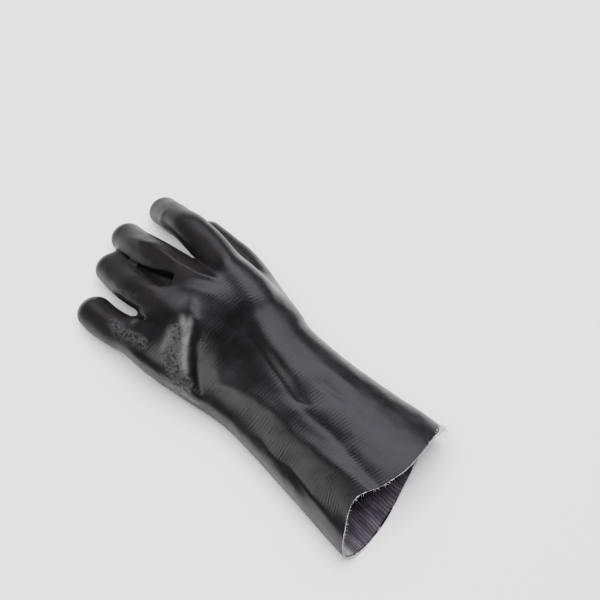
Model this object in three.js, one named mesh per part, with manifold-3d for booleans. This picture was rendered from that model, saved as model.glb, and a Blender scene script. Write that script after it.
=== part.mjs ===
// A coated work glove for the left hand, lying palm down with its fingers curled to the
// surface and its cuff open: a vinyl shell over a knit lining that shows inside the cuff.
// Millimetres. +Y runs from the cuff to the fingertips, +X to the thumb side, +Z up.
import * as THREE from 'three';
import Module from 'manifold-3d';

const wasm = await Module();
wasm.setup();

// Driving dimensions
const GAUNTLET_LENGTH = 150;
const PALM_LENGTH = 95;
const CUFF_WIDTH = 130;
const WRIST_WIDTH = 107;
const PALM_WIDTH = 123;
const CUFF_HEIGHT = 50;
const WRIST_HEIGHT = 47;
const KNUCKLE_HEIGHT = 60;
const FINGER_LENGTH = 110;
const FINGER_WIDTH = 29;
const FINGER_DEPTH = 27;
const CUFF_WAVE = 12;
const FOLD_DEPTH = 3;
const COATING_WALL = 1.2;
const LINING_WALL = 0.8;
const LINING_LENGTH = 135;
const LINING_SETBACK = 0.8;
const FIT_GAP = 0.3;
const SEAM_WIDTH = 3.2;
const SEAM_HEIGHT = 1.2;

// Facets round and along each form
const BODY_SIDES = 32;
const BODY_RINGS = 24;
const DIGIT_SIDES = 14;
const DIGIT_RINGS = 15;
const TIP_RINGS = 4;
const LINING_RINGS = 12;
const SEAM_SIDES = 6;

// Where along the body its three named widths and heights hold: -1 is the cuff,
// 0 the wrist crease and 1 the webs between the fingers.
const CUFF_AT = -1;
const WRIST_AT = -0.15;
const PALM_AT = 0.75;
const BODY_END = 1.08;

// Sections of the gauntlet and hand. Columns: station, swell of the width, drift of the
// middle to the thumb side (share of the palm's width), swell of the height, lift of the
// underside (below zero where the glove presses flat on the surface) and height of the
// sides (shares of the height), lean of the crown to the thumb side (share of the half
// width).
const BODY_ROWS = [
  [-1.00, 1.010, 0.028, 1.00, -0.06, 0.40, -0.20],
  [-0.77, 0.990, 0.020, 0.97, -0.06, 0.40, -0.12],
  [-0.50, 1.005, 0.010, 0.98, -0.06, 0.42, 0.00],
  [-0.27, 1.015, 0.001, 1.00, -0.06, 0.44, 0.08],
  [-0.13, 1.015, 0.000, 1.02, -0.06, 0.44, 0.14],
  [0.08, 1.035, -0.012, 1.02, -0.05, 0.44, 0.22],
  [0.32, 1.040, -0.030, 1.01, 0.01, 0.44, 0.32],
  [0.53, 1.030, -0.050, 1.01, 0.11, 0.46, 0.40],
  [0.74, 1.010, -0.070, 0.96, 0.24, 0.50, 0.42],
  [0.90, 0.960, -0.080, 0.86, 0.36, 0.56, 0.36],
  [1.00, 0.900, -0.085, 0.76, 0.46, 0.60, 0.26],
  [1.08, 0.800, -0.085, 0.66, 0.53, 0.60, 0.10],
];
const BODY_COLUMNS = { swell: 1, drift: 2, rise: 3, lift: 4, side: 5, lean: 6 };

// How full a section is above its sides and below them: 1 is an ellipse, less is squarer
const CROWN_POWER = 0.92;
const UNDERSIDE_POWER = 0.6;

// Places round the cuff where the lining is sewn
const THUMB_SIDE = 0;
const LITTLE_SIDE = 0.5;

// Reach of the raw cuff edge past its mean line, as a share of CUFF_WAVE, at places
// round the cuff: 0 is the thumb side, 0.25 the back, 0.5 the little finger side.
const CUFF_EDGE_ROWS = [
  [0.00, -0.92],
  [0.10, -0.40],
  [0.19, 0.10],
  [0.25, -0.15],
  [0.31, -0.75],
  [0.40, 0.10],
  [0.50, 0.65],
  [0.60, 1.05],
  [0.68, 0.85],
  [0.79, -0.10],
  [0.87, -1.00],
  [0.94, -1.30],
];

// Long ridges and valleys of the shell. Columns: start station, start place round,
// end station, end place round, spread round, height as a share of FOLD_DEPTH.
const FOLD_ROWS = [
  [0.85, 0.150, 0.05, 0.215, 0.030, 0.9],
  [0.05, 0.215, -0.35, 0.270, 0.035, 0.6],
  [-0.35, 0.290, -1.05, 0.305, 0.028, -1.0],
  [-0.10, 0.390, -0.95, 0.350, 0.030, 0.5],
  [0.20, 0.300, -0.20, 0.350, 0.040, -0.5],
  [0.75, 0.330, 0.35, 0.330, 0.030, -0.8],
];
const FOLD_FADE = 0.10;

// Digits. root: place across (share of PALM_WIDTH), along (share of PALM_LENGTH) and up
// (share of KNUCKLE_HEIGHT). Each bone: length (share of FINGER_LENGTH), swing to the
// thumb side and tilt up, in degrees. width and depth: shares of the finger's.
const DIGIT_ROWS = [
  {
    name: 'index', root: [0.25, 0.42, 0.66], width: 1.04, depth: 1.0,
    bones: [[0.44, 8, 5], [0.38, 5.5, -4], [0.26, 8, -26], [0.22, 10, -34]],
  },
  {
    name: 'middle', root: [0.09, 0.46, 0.68], width: 1.09, depth: 1.0,
    bones: [[0.44, -2, 1], [0.35, -5, -8], [0.26, -1, -25], [0.22, 5, -28]],
  },
  {
    name: 'ring', root: [-0.113, 0.46, 0.63], width: 1.18, depth: 1.0,
    bones: [[0.44, -8, 0], [0.28, -10, -12], [0.20, 2, -22], [0.195, 8, -22]],
  },
  {
    name: 'little', root: [-0.345, 0.40, 0.45], width: 1.16, depth: 1.0,
    bones: [[0.40, -14, -1], [0.29, -13, -11], [0.15, -5, -16], [0.12, 2, -13]],
  },
  {
    name: 'thumb', root: [0.325, 0.16, 0.40], width: 1.0, depth: 0.92,
    bones: [[0.34, 19, -6], [0.364, 15, -9], [0.38, -3, -2]],
  },
];
// How much wider a digit's root is than its middle, and how much narrower its tip
const ROOT_SWELL = 0.10;
const DIGIT_TAPER = 0.10;
// The share of a digit's length that its root swells over, and the share of a quarter
// turn that the rings of its round tip cover
const ROOT_REACH = 0.625;
const TIP_COVER = 0.93;

// Short steps along and round a face, to find which way it looks
const FACE_STEP = 0.004;
const SEAM_STEP = 0.01;

// Finishes
const coatingMaterial = new THREE.MeshStandardMaterial({ color: 0x17171a, roughness: 0.32, metalness: 0 });
const liningMaterial = new THREE.MeshStandardMaterial({ color: 0x453c45, roughness: 0.95, metalness: 0 });
const seamMaterial = new THREE.MeshStandardMaterial({ color: 0x6b686e, roughness: 0.95, metalness: 0 });

function smooth(t) {
  const u = Math.min(Math.max(t, 0), 1);
  return u * u * (3 - 2 * u);
}

// One column of a table at a place between its rows, by a curve that passes through
// every row and keeps its slope there.
function tableValue(rows, column, at) {
  let k = 0;
  while (k < rows.length - 2 && at > rows[k + 1][0]) k += 1;
  const slope = (i) => {
    const before = rows[Math.max(i - 1, 0)];
    const after = rows[Math.min(i + 1, rows.length - 1)];
    return (after[column] - before[column]) / (after[0] - before[0]);
  };
  const span = rows[k + 1][0] - rows[k][0];
  const t = Math.min(Math.max((at - rows[k][0]) / span, 0), 1);
  const t2 = t * t;
  const t3 = t2 * t;
  const start = rows[k][column] * (2 * t3 - 3 * t2 + 1) + slope(k) * span * (t3 - 2 * t2 + t);
  const end = rows[k + 1][column] * (3 * t2 - 2 * t3) + slope(k + 1) * span * (t3 - t2);
  return start + end;
}

// The same for a table that closes on itself round the cuff
function roundTableValue(rows, turn) {
  const first = rows[0];
  const last = rows[rows.length - 1];
  const closed = [[last[0] - 1, last[1]], ...rows, [first[0] + 1, first[1]], [rows[1][0] + 1, rows[1][1]]];
  return tableValue(closed, 1, turn - Math.floor(turn));
}

// A size that passes from its value at the cuff through the wrist's to the palm's
function alongBody(station, cuff, wrist, palm) {
  const toWrist = smooth((station - CUFF_AT) / (WRIST_AT - CUFF_AT));
  const toPalm = smooth((station - WRIST_AT) / (PALM_AT - WRIST_AT));
  return cuff + (wrist - cuff) * toWrist + (palm - wrist) * toPalm;
}

function stationToY(station) {
  return station < 0 ? station * GAUNTLET_LENGTH : station * PALM_LENGTH;
}

// How far the folds push the shell outwards at one place
function foldHeight(station, turn) {
  let height = 0;
  for (const [startAt, startTurn, endAt, endTurn, spread, share] of FOLD_ROWS) {
    const t = (station - startAt) / (endAt - startAt);
    const line = startTurn + (endTurn - startTurn) * Math.min(Math.max(t, 0), 1);
    const past = Math.max(station - Math.max(startAt, endAt), Math.min(startAt, endAt) - station, 0);
    const across = (turn - line) / spread;
    height += share * FOLD_DEPTH * Math.exp(-across * across - (past / FOLD_FADE) ** 2);
  }
  return height;
}

// A point of the gauntlet and hand's outer face. The section is an ellipse above the
// sides and a flatter one below them; what would sink under the surface lies flat on it.
function bodyPoint(station, turn) {
  const value = (name) => tableValue(BODY_ROWS, BODY_COLUMNS[name], station);
  const width = alongBody(station, CUFF_WIDTH, WRIST_WIDTH, PALM_WIDTH) * value('swell');
  const height = alongBody(station, CUFF_HEIGHT, WRIST_HEIGHT, KNUCKLE_HEIGHT) * value('rise');
  const angle = 2 * Math.PI * turn;
  const cosine = Math.cos(angle);
  const sine = Math.sin(angle);
  const fold = foldHeight(station, turn - Math.floor(turn));
  const half = width / 2;
  const side = height * value('side');
  const top = height + fold;
  const under = height * value('lift');
  const flat = Math.sign(sine) * Math.abs(sine) ** UNDERSIDE_POWER;
  const z = sine > 0 ? side + (top - side) * sine ** CROWN_POWER : side + (side - under) * flat;
  const lean = sine > 0 ? half * value('lean') * sine * sine : 0;
  const x = PALM_WIDTH * value('drift') + half * cosine + lean;
  return new THREE.Vector3(x, stationToY(station), Math.max(z, 0));
}

// The same point moved inwards, square to the face
function insetPoint(pointAt, u, v, inset) {
  const along = pointAt(u + FACE_STEP, v).sub(pointAt(u - FACE_STEP, v));
  const round = pointAt(u, v + FACE_STEP).sub(pointAt(u, v - FACE_STEP));
  const normal = along.cross(round).normalize();
  return pointAt(u, v).addScaledVector(normal, -inset);
}

// The body with its first stretch drawn out to the raw cuff edge
function gauntletPoint(station, turn, inset, reach = 0) {
  const point = insetPoint(bodyPoint, station, turn, inset);
  const edge = roundTableValue(CUFF_EDGE_ROWS, turn) * CUFF_WAVE + reach;
  const share = 1 - smooth((station - CUFF_AT) / (WRIST_AT - CUFF_AT));
  point.y -= edge * share;
  return point;
}

// A closed body from rings of points, capped by a fan to the middle of each end ring
function ringsGeometry(rings) {
  const sides = rings[0].length;
  const points = rings.flat();
  const middle = (ring) => ring.reduce((sum, p) => sum.add(p), new THREE.Vector3()).divideScalar(sides);
  const first = points.push(middle(rings[0])) - 1;
  const last = points.push(middle(rings[rings.length - 1])) - 1;
  const faces = [];
  const lastRow = (rings.length - 1) * sides;
  for (let side = 0; side < sides; side += 1) {
    const next = (side + 1) % sides;
    for (let row = 0; row < lastRow; row += sides) {
      faces.push(row + side, row + sides + next, row + next);
      faces.push(row + side, row + sides + side, row + sides + next);
    }
    faces.push(first, side, next);
    faces.push(last, lastRow + next, lastRow + side);
  }
  return indexedGeometry(points, faces);
}

// A tube with a wall: rings of its outer face, then back along its inner face
function tubeGeometry(outerRings, innerRings) {
  const loop = [...outerRings, ...innerRings.slice().reverse()];
  const sides = loop[0].length;
  const faces = [];
  loop.forEach((ring, row) => {
    const nextRow = (row + 1) % loop.length;
    for (let side = 0; side < sides; side += 1) {
      const next = (side + 1) % sides;
      faces.push(row * sides + side, nextRow * sides + next, row * sides + next);
      faces.push(row * sides + side, nextRow * sides + side, nextRow * sides + next);
    }
  });
  return indexedGeometry(loop.flat(), faces);
}

function indexedGeometry(points, faces) {
  const geometry = new THREE.BufferGeometry().setFromPoints(points);
  geometry.setIndex(faces);
  return geometry;
}

function toSolid(geometry) {
  return new wasm.Manifold(new wasm.Mesh({
    numProp: 3,
    vertProperties: new Float32Array(geometry.attributes.position.array),
    triVerts: new Uint32Array(geometry.index.array),
  }));
}

function fromSolid(solid) {
  const mesh = solid.getMesh();
  const geometry = new THREE.BufferGeometry();
  geometry.setAttribute('position', new THREE.BufferAttribute(mesh.vertProperties, 3));
  geometry.setIndex(new THREE.BufferAttribute(mesh.triVerts, 1));
  geometry.computeVertexNormals();
  return geometry;
}

function bodyGeometry(inset) {
  const rings = [];
  for (let row = 0; row <= BODY_RINGS; row += 1) {
    const station = CUFF_AT + (BODY_END - CUFF_AT) * (row / BODY_RINGS);
    const ring = [];
    for (let side = 0; side < BODY_SIDES; side += 1) {
      const point = gauntletPoint(station, side / BODY_SIDES, inset);
      if (row === BODY_RINGS) point.y -= inset;
      ring.push(point);
    }
    rings.push(ring);
  }
  if (inset > 0) {
    rings.unshift(rings[0].map((point) => point.clone().add(new THREE.Vector3(0, -CUFF_WAVE, 0))));
  }
  return ringsGeometry(rings);
}

// The middle line of one digit, from inside the palm to the middle of its round tip
function digitCurve(digit) {
  const [across, along, up] = digit.root;
  const point = new THREE.Vector3(across * PALM_WIDTH, along * PALM_LENGTH, up * KNUCKLE_HEIGHT);
  const points = [point.clone()];
  for (const [length, swing, tilt] of digit.bones) {
    const yaw = THREE.MathUtils.degToRad(swing);
    const pitch = THREE.MathUtils.degToRad(tilt);
    const level = Math.cos(pitch);
    const direction = new THREE.Vector3(Math.sin(yaw) * level, Math.cos(yaw) * level, Math.sin(pitch));
    point.addScaledVector(direction, length * FINGER_LENGTH);
    points.push(point.clone());
  }
  return new THREE.CatmullRomCurve3(points, false, 'centripetal');
}

// A digit's closed body: oval rings square to its middle line and a round tip, lying
// flat where it would sink under the surface
function digitGeometry(digit, inset) {
  const curve = digitCurve(digit);
  const halfWidth = (FINGER_WIDTH * digit.width) / 2 - inset;
  const halfDepth = (FINGER_DEPTH * digit.depth) / 2 - inset;
  const length = curve.getLength();
  const tipLength = halfDepth;
  const rings = [];
  for (let row = 0; row <= DIGIT_RINGS + TIP_RINGS; row += 1) {
    const onTip = Math.max(row - DIGIT_RINGS, 0) / TIP_RINGS;
    const angle = onTip * TIP_COVER * (Math.PI / 2);
    const share = Math.min(row / DIGIT_RINGS, 1);
    const centre = curve.getPointAt(share);
    const tangent = curve.getTangentAt(share);
    centre.addScaledVector(tangent, tipLength * Math.sin(angle));
    const across = new THREE.Vector3().crossVectors(tangent, new THREE.Vector3(0, 0, 1)).normalize();
    const up = new THREE.Vector3().crossVectors(across, tangent);
    const swell = 1 + ROOT_SWELL * (1 - smooth(share / ROOT_REACH)) - DIGIT_TAPER * smooth(share);
    const taper = swell * Math.cos(angle);
    const ring = [];
    for (let side = 0; side < DIGIT_SIDES; side += 1) {
      const turn = (2 * Math.PI * side) / DIGIT_SIDES;
      const point = centre.clone();
      point.addScaledVector(across, halfWidth * taper * Math.cos(turn));
      point.addScaledVector(up, halfDepth * taper * Math.sin(turn));
      point.z = Math.max(point.z, inset);
      ring.push(point);
    }
    rings.push(ring);
  }
  return ringsGeometry(rings);
}

function gloveSolid(inset) {
  let solid = toSolid(bodyGeometry(inset));
  for (const digit of DIGIT_ROWS) {
    solid = solid.add(toSolid(digitGeometry(digit, inset)));
  }
  return solid;
}

// The station of a place along the lining, from its cuff end to its far end
function liningStation(share) {
  return CUFF_AT + (LINING_LENGTH / GAUNTLET_LENGTH) * share;
}

function liningRing(share, inset) {
  const station = liningStation(share);
  const ring = [];
  for (let side = 0; side < BODY_SIDES; side += 1) {
    ring.push(gauntletPoint(station, side / BODY_SIDES, inset, -LINING_SETBACK));
  }
  return ring;
}

function liningGeometry() {
  const outer = [];
  const inner = [];
  for (let row = 0; row <= LINING_RINGS; row += 1) {
    outer.push(liningRing(row / LINING_RINGS, COATING_WALL + FIT_GAP));
    inner.push(liningRing(row / LINING_RINGS, COATING_WALL + FIT_GAP + LINING_WALL));
  }
  return tubeGeometry(outer, inner);
}

// A sewn seam: a low half-round rib on the lining's inner face along one side
function seamGeometry(turn) {
  const base = COATING_WALL + FIT_GAP + LINING_WALL + FIT_GAP;
  const rings = [];
  for (let row = 0; row <= LINING_RINGS; row += 1) {
    const station = liningStation(row / LINING_RINGS);
    const low = gauntletPoint(station, turn, base, -LINING_SETBACK);
    const high = gauntletPoint(station, turn, base + SEAM_HEIGHT, -LINING_SETBACK);
    const beside = gauntletPoint(station, turn + SEAM_STEP, base, -LINING_SETBACK);
    const inward = high.clone().sub(low).normalize();
    const across = beside.clone().sub(low).normalize();
    const ring = [];
    for (let side = 0; side < SEAM_SIDES; side += 1) {
      const angle = (Math.PI * side) / (SEAM_SIDES - 1);
      const point = low.clone().addScaledVector(across, (SEAM_WIDTH / 2) * Math.cos(angle));
      point.addScaledVector(inward, SEAM_HEIGHT * Math.sin(angle) + FIT_GAP);
      ring.push(point);
    }
    rings.push(ring);
  }
  return ringsGeometry(rings);
}

function namedMesh(name, geometry, material) {
  const mesh = new THREE.Mesh(geometry, material);
  mesh.name = name;
  return mesh;
}

const coatingSolid = gloveSolid(0).subtract(gloveSolid(COATING_WALL));

const group = new THREE.Group();
group.add(namedMesh('pvc_coating', fromSolid(coatingSolid), coatingMaterial));
group.add(namedMesh('knit_lining', liningGeometry(), liningMaterial));
group.add(namedMesh('lining_seam_thumb_side', seamGeometry(THUMB_SIDE), seamMaterial));
group.add(namedMesh('lining_seam_little_side', seamGeometry(LITTLE_SIDE), seamMaterial));

// The origin is the middle of the glove's box, on the surface that it lies on
const bounds = new THREE.Box3().setFromObject(group);
const middle = bounds.getCenter(new THREE.Vector3());
group.position.set(-middle.x, -middle.y, -bounds.min.z);

export default group;
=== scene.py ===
"""A black vinyl-coated work glove, lying palm down with its fingers curled and its cuff open.

Lengths are in millimetres in the glove's own frame, where y is 0 at the wrist crease and
grows to the fingertips, x grows to the thumb side and z is the height over the surface.
They become metres about the model's origin when a mesh is written.
"""

import logging
import math
from collections.abc import Iterator
from contextlib import contextmanager
from dataclasses import dataclass, field
from enum import Enum

import bmesh
import bpy
import numpy as np
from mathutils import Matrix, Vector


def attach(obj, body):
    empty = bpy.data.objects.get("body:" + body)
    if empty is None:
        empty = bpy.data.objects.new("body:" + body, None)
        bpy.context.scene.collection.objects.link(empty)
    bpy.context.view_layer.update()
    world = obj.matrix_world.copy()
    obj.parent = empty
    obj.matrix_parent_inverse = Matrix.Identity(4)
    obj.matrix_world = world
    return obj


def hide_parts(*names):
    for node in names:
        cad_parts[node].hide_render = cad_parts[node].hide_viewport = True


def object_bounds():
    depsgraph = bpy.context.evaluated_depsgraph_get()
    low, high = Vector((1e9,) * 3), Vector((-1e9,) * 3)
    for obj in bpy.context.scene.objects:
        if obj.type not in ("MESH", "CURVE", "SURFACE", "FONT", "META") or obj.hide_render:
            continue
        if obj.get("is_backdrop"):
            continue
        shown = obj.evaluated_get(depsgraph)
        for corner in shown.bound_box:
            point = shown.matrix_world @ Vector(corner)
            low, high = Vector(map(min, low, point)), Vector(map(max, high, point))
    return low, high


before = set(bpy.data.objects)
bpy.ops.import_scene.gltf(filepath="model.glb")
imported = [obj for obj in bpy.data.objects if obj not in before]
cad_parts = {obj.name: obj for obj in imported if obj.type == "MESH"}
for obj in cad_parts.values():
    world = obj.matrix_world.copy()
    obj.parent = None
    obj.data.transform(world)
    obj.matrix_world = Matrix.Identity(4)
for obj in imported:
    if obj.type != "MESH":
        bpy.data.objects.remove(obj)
CAD_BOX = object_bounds()

log = logging.getLogger("glove")
MM = 0.001
# Where the wrist crease's middle lies from the model's origin
ORIGIN = np.array([0.357, -13.937, 0.0])
# The corners of a cell
CORNERS = np.array([[c & 1, c >> 1 & 1, c >> 2 & 1] for c in range(8)])
# The smallest ratio that a field divides by
LEAST_RATIO = 0.05

Array = np.ndarray
Triple = tuple[float, float, float]
Object = bpy.types.Object


class Slot(Enum):
    """Names for the glove's coating, lining and seam; no piece here is given one."""

    COATING = "coating"
    LINING = "lining"
    SEAM = "seam"


# Helpers for curves and fields

def smooth(t: Array) -> Array:
    """Pass from 0 to 1 along an S: u squared times (3 - 2u), u being t held in 0 to 1."""
    u = np.clip(t, 0.0, 1.0)
    return u * u * (3.0 - 2.0 * u)


def soft_min(a: Array, b: Array, reach: float) -> Array:
    """Join two fields with a fillet: the lower one, less reach / 4 where they are equal.

    Args:
        a: First field.
        b: Second field.
        reach: How near the fields' values are, in mm, where the fillet starts.

    Returns:
        The joined field.
    """
    near = np.maximum(reach - np.abs(a - b), 0.0) / reach
    return np.minimum(a, b) - near * near * reach * 0.25


def soft_max(a: Array, b: Array, reach: float) -> Array:
    """Cut one field by another with a rounded edge, the mirror of soft_min."""
    return -soft_min(-a, -b, reach)


def table_curve(rows: Array, column: int, at: Array) -> Array:
    """Read a column of a table between its rows, by cubic pieces that keep their slope.

    Args:
        rows: The table, with its keys in the first column.
        column: The column to read.
        at: The keys to read it at.

    Returns:
        The values there.
    """
    keys, values = rows[:, 0], rows[:, column]
    last = len(keys) - 1
    before, after = (np.clip(np.arange(last + 1) + step, 0, last) for step in (-1, 1))
    slope = (values[after] - values[before]) / (keys[after] - keys[before])
    k = np.clip(np.searchsorted(keys, at, side="left") - 1, 0, last - 1)
    span = keys[k + 1] - keys[k]
    t = np.clip((at - keys[k]) / span, 0.0, 1.0)
    t2, t3 = t * t, t * t * t
    start = values[k] * (2 * t3 - 3 * t2 + 1) + slope[k] * span * (t3 - 2 * t2 + t)
    end = values[k + 1] * (3 * t2 - 2 * t3) + slope[k + 1] * span * (t3 - t2)
    return start + end


def unit(vectors: Array) -> Array:
    """Scale vectors to length 1."""
    return vectors / np.maximum(np.linalg.norm(vectors, axis=-1, keepdims=True), 1e-9)


def heading(turn: float, rise: float) -> Array:
    """Give the direction at a turn from +Y to +X and a height angle, both in degrees."""
    a, b = math.radians(turn), math.radians(rise)
    return np.array([math.sin(a) * math.cos(b), math.cos(a) * math.cos(b), math.sin(b)])


@dataclass(frozen=True)
class SoftNoise:
    """Smooth uneven values about 0: a seeded lattice, read by S curves between its points."""

    size: float
    seed: int
    cells: int = 32
    shift: float = 7.31

    def at(self, points: Array, stretch: Triple = (1.0, 1.0, 1.0)) -> Array:
        """Read the noise.

        Args:
            points: Places in mm.
            stretch: How many times longer its lumps are along each axis.

        Returns:
            Values from about -1 to 1.
        """
        lattice = np.random.default_rng(self.seed).uniform(-1.0, 1.0, (self.cells,) * 3)
        place = points / (self.size * np.array(stretch)) + self.shift
        base = np.floor(place).astype(int)
        part = smooth(place - base)
        total = np.zeros(len(points))
        for step in CORNERS:
            weight = np.where(step == 1, part, 1.0 - part).prod(axis=1)
            total += weight * lattice[tuple(((base + step) % self.cells).T)]
        return total


# The glove's form

@dataclass
class Body:
    """The gauntlet and hand: ovals carried along the glove, flat where they meet the surface.

    A section is x = drift + half cos a + lean half sin^2 a and, above its sides,
    z = side + (top - side) sin^0.92 a; below them z = side - (side - under) |sin a|^0.6.
    """

    gauntlet_length: float = 150.0
    palm_length: float = 95.0
    widths: Triple = (130.0, 107.0, 123.0)
    heights: Triple = (50.0, 47.0, 60.0)
    stations: Triple = (-1.0, -0.15, 0.75)
    end: float = 1.08
    end_fillet: float = 12.0
    cuff_wave: float = 12.0
    crown: float = 0.92
    belly: float = 0.6
    most_lean: float = 1.2
    samples: int = 900
    # station, swell of the width, drift, swell of the height, lift, side, lean
    rows: Array = field(default_factory=lambda: np.array([
        [-1.00, 1.010, 0.028, 1.00, -0.06, 0.40, -0.20],
        [-0.77, 0.990, 0.020, 0.97, -0.06, 0.40, -0.12],
        [-0.50, 1.005, 0.010, 0.98, -0.06, 0.42, 0.00],
        [-0.27, 1.015, 0.001, 1.00, -0.06, 0.44, 0.08],
        [-0.13, 1.015, 0.000, 1.02, -0.06, 0.44, 0.14],
        [0.08, 1.035, -0.012, 1.02, -0.05, 0.44, 0.22],
        [0.32, 1.040, -0.030, 1.01, 0.01, 0.44, 0.32],
        [0.53, 1.030, -0.050, 1.01, 0.11, 0.46, 0.40],
        [0.74, 1.010, -0.070, 0.96, 0.24, 0.50, 0.42],
        [0.90, 0.960, -0.080, 0.86, 0.36, 0.56, 0.36],
        [1.00, 0.900, -0.085, 0.76, 0.46, 0.60, 0.26],
        [1.08, 0.800, -0.085, 0.66, 0.53, 0.60, 0.10],
    ]))
    # place round the cuff (0 thumb side, 0.25 back), reach past the mean edge as a share
    edge_rows: Array = field(default_factory=lambda: np.array([
        [0.00, -0.92], [0.10, -0.40], [0.19, 0.10], [0.25, -0.15], [0.31, -0.75], [0.40, 0.10],
        [0.50, 0.65], [0.60, 1.05], [0.68, 0.85], [0.79, -0.10], [0.87, -1.00], [0.94, -1.30],
    ]))

    def __post_init__(self) -> None:
        """Work out the section's sizes once, at steps of a few tenths of a millimetre."""
        cuff, wrist, palm = self.stations
        self.at = np.linspace(cuff, self.end, self.samples)
        to_wrist = smooth((self.at - cuff) / (wrist - cuff))
        to_palm = smooth((self.at - wrist) / (palm - wrist))

        def along(sizes: Triple) -> Array:
            """Pass from the cuff's size through the wrist's to the palm's."""
            return sizes[0] + (sizes[1] - sizes[0]) * to_wrist + (sizes[2] - sizes[1]) * to_palm

        value = [table_curve(self.rows, column, self.at) for column in range(7)]
        top = along(self.heights) * value[3]
        self.table = {"half": along(self.widths) * value[1] / 2, "drift": self.widths[2] * value[2],
                      "top": top, "under": top * value[4], "side": top * value[5], "lean": value[6]}

    def station(self, y: Array) -> Array:
        """Give the station of a place along the glove."""
        return np.where(y < 0, y / self.gauntlet_length, y / self.palm_length)

    def sizes(self, station: Array) -> dict[str, Array]:
        """Read every size of the section at stations."""
        return {name: np.interp(station, self.at, row) for name, row in self.table.items()}

    def _round(self, points: Array) -> tuple[Array, Array, Array]:
        """Place points about their sections.

        Args:
            points: Places in mm.

        Returns:
            Each one's cosine, sine and distance from its section's middle.
        """
        s = self.sizes(self.station(points[:, 1]))
        out = points[:, 0] - s["drift"]
        rise = points[:, 2] - s["side"]
        above = np.maximum(rise, 0.0) / (s["top"] - s["side"])
        below = np.maximum(-rise, 0.0) / (s["side"] - s["under"])
        sine = np.where(rise > 0, above ** (1 / self.crown), -(below ** (1 / self.belly)))
        leant = np.where(rise > 0, s["lean"] * np.minimum(sine * sine, self.most_lean), 0.0)
        return out / s["half"] - leant, sine, np.hypot(out, rise)

    def turn(self, points: Array) -> Array:
        """Give each point's place round the glove: 0 thumb side, 0.25 back, 0.5 little finger."""
        cosine, sine, _ = self._round(points)
        return (np.arctan2(sine, cosine) / (2 * np.pi)) % 1.0

    def distance(self, points: Array) -> Array:
        """Give the field: about the distance from the skin, below zero inside.

        It is the distance from the section's middle times 1 - 1 / r, where r is how many
        times larger a section through the point would be, cut off past the knuckles.

        Args:
            points: Places in mm.

        Returns:
            The field.
        """
        cosine, sine, far = self._round(points)
        ratio = np.maximum(np.hypot(cosine, sine), LEAST_RATIO)
        past = points[:, 1] - self.end * self.palm_length
        return soft_max(far * (1 - 1 / ratio), past, self.end_fillet)

    def skin(self, station: Array, turn: Array) -> Array:
        """Give points of the skin.

        Args:
            station: Stations, -1 at the cuff.
            turn: Places round the glove.

        Returns:
            The points, one row each.
        """
        s = self.sizes(station)
        sine = np.sin(2 * np.pi * turn)
        up = s["side"] + (s["top"] - s["side"]) * np.abs(sine) ** self.crown
        down = s["side"] - (s["side"] - s["under"]) * np.abs(sine) ** self.belly
        x = s["drift"] + s["half"] * np.cos(2 * np.pi * turn)
        x = x + np.where(sine > 0, s["lean"] * s["half"] * sine * sine, 0.0)
        y = station * np.where(station < 0, self.gauntlet_length, self.palm_length)
        return np.stack([x, y, np.maximum(np.where(sine > 0, up, down), 0.0)], axis=-1)

    def drawn_out(self, points: Array, turn: Array) -> Array:
        """Move the cuff's first stretch out along y to its raw, wavy edge.

        Args:
            points: Points whose cuff ends on a straight line.
            turn: Their places round the glove.

        Returns:
            The moved points.
        """
        rows = np.vstack([self.edge_rows[-1] - [1, 0], self.edge_rows, self.edge_rows[:2] + [1, 0]])
        first, last = self.stations[:2]
        share = 1 - smooth((self.station(points[:, 1]) - first) / (last - first))
        moved = points.copy()
        moved[:, 1] -= table_curve(rows, 1, turn) * self.cuff_wave * share
        return moved


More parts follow.
